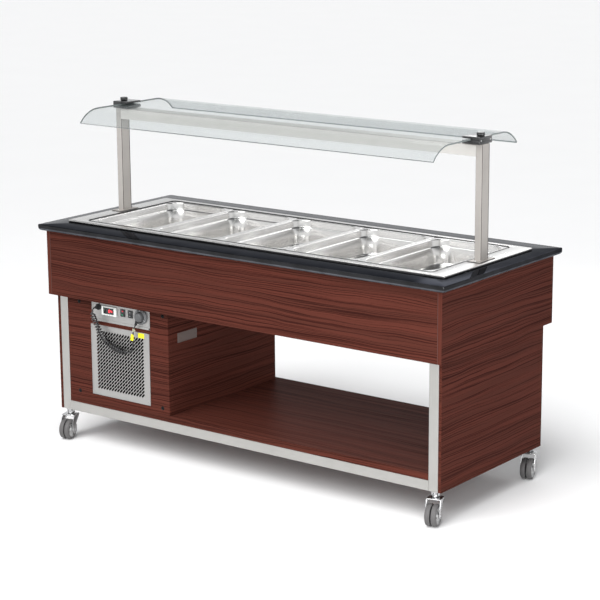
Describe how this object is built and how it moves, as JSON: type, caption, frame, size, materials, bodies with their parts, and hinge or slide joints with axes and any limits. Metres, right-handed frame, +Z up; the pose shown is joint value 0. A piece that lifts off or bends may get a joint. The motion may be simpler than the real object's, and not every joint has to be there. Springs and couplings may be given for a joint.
{
  "type": "steam table unit",
  "caption": "Mobile buffet trolley: pans in a stainless well, dark worktop, wood cladding, curved glass canopy with a light, machine compartment, open shelf and castors.",
  "frame": {"origin": "on the floor, under the middle of the worktop", "axes": "+X along the long side, +Z up; the control side faces -Y"},
  "size_m": [1.9112, 0.8026, 1.3478],
  "materials": {
    "slab_stone": "polished black",
    "deck_steel": "bright brushed stainless",
    "jacket_steel": "plain galvanised sheet",
    "pan_steel": "polished stainless",
    "wood_laminate": "dark reddish brown wood grain laminate",
    "frame_steel": "satin stainless tube",
    "panel_steel": "satin stainless sheet",
    "white_plastic": "white bezel with a dark display",
    "black_plastic": "black",
    "grey_plastic": "mid grey",
    "black_rubber": "black moulded",
    "cord_black": "black curly lead",
    "black_paint": "black paint",
    "fin_aluminium": "finned coil",
    "fan_plastic": "black",
    "satin_post": "satin warm grey",
    "opal_plastic": "opal white",
    "black_gloss": "gloss black",
    "canopy_glass": "clear, pale blue green",
    "castor_chrome": "bright zinc or chrome",
    "wheel_grey": "grey tread"
  },
  "bodies": {
    "base": {"worktop_slab": "slab_stone", "well_tub": "deck_steel", "well_casing": "jacket_steel", "apron_front": "wood_laminate", "apron_rear": "wood_laminate", "apron_left": "wood_laminate", "apron_right": "wood_laminate", "side_panel_left": "wood_laminate", "side_panel_right": "wood_laminate", "frame_post_front_left": "frame_steel", "frame_post_front_right": "frame_steel", "frame_post_rear_left": "frame_steel", "frame_post_rear_right": "frame_steel", "bottom_rail_front": "frame_steel", "bottom_rail_rear": "frame_steel", "niche_floor": "wood_laminate", "machine_floor": "wood_laminate", "compartment_front": "wood_laminate", "compartment_rear": "wood_laminate", "partition": "wood_laminate", "control_plate": "panel_steel", "grille": "panel_steel", "thermostat": "white_plastic", "plug_holder": "grey_plastic", "plug": "black_rubber", "cord_gland": "black_rubber", "cord_coil": "cord_black", "cord_tail": "cord_black", "compressor": "black_paint", "condenser": "fin_aluminium", "fan_motor": "black_paint", "canopy_post_left": "satin_post", "canopy_post_right": "satin_post", "light_channel": "satin_post", "light_diffuser": "opal_plastic", "glass_clamp_left": "black_gloss", "glass_clamp_right": "black_gloss", "canopy_glass": "canopy_glass", "castor_stem_front_left": "castor_chrome", "castor_stem_front_right": "castor_chrome", "castor_stem_rear_left": "castor_chrome", "castor_stem_rear_right": "castor_chrome"},
    "pan_1": {"food_pan_1": "pan_steel"},
    "pan_2": {"food_pan_2": "pan_steel"},
    "pan_3": {"food_pan_3": "pan_steel"},
    "pan_4": {"food_pan_4": "pan_steel"},
    "pan_5": {"food_pan_5": "pan_steel"},
    "knob_left": {"clamp_knob_left": "black_gloss"},
    "knob_right": {"clamp_knob_right": "black_gloss"},
    "switch_1": {"rocker_1": "black_plastic"},
    "switch_2": {"rocker_2": "black_plastic"},
    "fan": {"fan_rotor": "fan_plastic"},
    "castor_front_left": {"castor_fork_front_left": "castor_chrome"},
    "wheel_front_left": {"castor_wheel_front_left": "wheel_grey"},
    "castor_front_right": {"castor_fork_front_right": "castor_chrome"},
    "wheel_front_right": {"castor_wheel_front_right": "wheel_grey"},
    "castor_rear_left": {"castor_fork_rear_left": "castor_chrome"},
    "wheel_rear_left": {"castor_wheel_rear_left": "wheel_grey"},
    "castor_rear_right": {"castor_fork_rear_right": "castor_chrome"},
    "wheel_rear_right": {"castor_wheel_rear_right": "wheel_grey"}
  },
  "joints": [
    {"name": "pan_1_lift", "type": "slide", "parent": "base", "child": "pan_1", "axis": [0, 0, 1], "range_m": [0, 0.2]},
    {"name": "pan_2_lift", "type": "slide", "parent": "base", "child": "pan_2", "axis": [0, 0, 1], "range_m": [0, 0.2]},
    {"name": "pan_3_lift", "type": "slide", "parent": "base", "child": "pan_3", "axis": [0, 0, 1], "range_m": [0, 0.2]},
    {"name": "pan_4_lift", "type": "slide", "parent": "base", "child": "pan_4", "axis": [0, 0, 1], "range_m": [0, 0.2]},
    {"name": "pan_5_lift", "type": "slide", "parent": "base", "child": "pan_5", "axis": [0, 0, 1], "range_m": [0, 0.2]},
    {"name": "knob_left_turn", "type": "hinge", "parent": "base", "child": "knob_left", "pos_m": [-0.842, 0, 1.3413], "axis": [0, 0, 1], "range_deg": [0, 300]},
    {"name": "knob_right_turn", "type": "hinge", "parent": "base", "child": "knob_right", "pos_m": [0.842, 0, 1.3413], "axis": [0, 0, 1], "range_deg": [0, 300]},
    {"name": "switch_1_rock", "type": "hinge", "parent": "base", "child": "switch_1", "pos_m": [-0.563, -0.3458, 0.562], "axis": [1, 0, 0], "range_deg": [0, 16]},
    {"name": "switch_2_rock", "type": "hinge", "parent": "base", "child": "switch_2", "pos_m": [-0.524, -0.3458, 0.562], "axis": [1, 0, 0], "range_deg": [0, 16]},
    {"name": "fan_spin", "type": "hinge", "parent": "base", "child": "fan", "pos_m": [-0.5825, -0.19, 0.365], "axis": [0, 1, 0], "continuous": true},
    {"name": "castor_front_left_swivel", "type": "hinge", "parent": "base", "child": "castor_front_left", "pos_m": [-0.8805, -0.324, 0.0955], "axis": [0, 0, 1], "continuous": true},
    {"name": "wheel_front_left_roll", "type": "hinge", "parent": "castor_front_left", "child": "wheel_front_left", "pos_m": [-0.87168, -0.35476, 0.04], "axis": [0.9613, 0.2756, 0], "continuous": true},
    {"name": "castor_front_right_swivel", "type": "hinge", "parent": "base", "child": "castor_front_right", "pos_m": [0.8805, -0.324, 0.0955], "axis": [0, 0, 1], "continuous": true},
    {"name": "wheel_front_right_roll", "type": "hinge", "parent": "castor_front_right", "child": "wheel_front_right", "pos_m": [0.88932, -0.35476, 0.04], "axis": [0.9613, 0.2756, 0], "continuous": true},
    {"name": "castor_rear_left_swivel", "type": "hinge", "parent": "base", "child": "castor_rear_left", "pos_m": [-0.8805, 0.324, 0.0955], "axis": [0, 0, 1], "continuous": true},
    {"name": "wheel_rear_left_roll", "type": "hinge", "parent": "castor_rear_left", "child": "wheel_rear_left", "pos_m": [-0.87168, 0.29324, 0.04], "axis": [0.9613, 0.2756, 0], "continuous": true},
    {"name": "castor_rear_right_swivel", "type": "hinge", "parent": "base", "child": "castor_rear_right", "pos_m": [0.8805, 0.324, 0.0955], "axis": [0, 0, 1], "continuous": true},
    {"name": "wheel_rear_right_roll", "type": "hinge", "parent": "castor_rear_right", "child": "wheel_rear_right", "pos_m": [0.88932, 0.29324, 0.04], "axis": [0.9613, 0.2756, 0], "continuous": true}
  ]
}
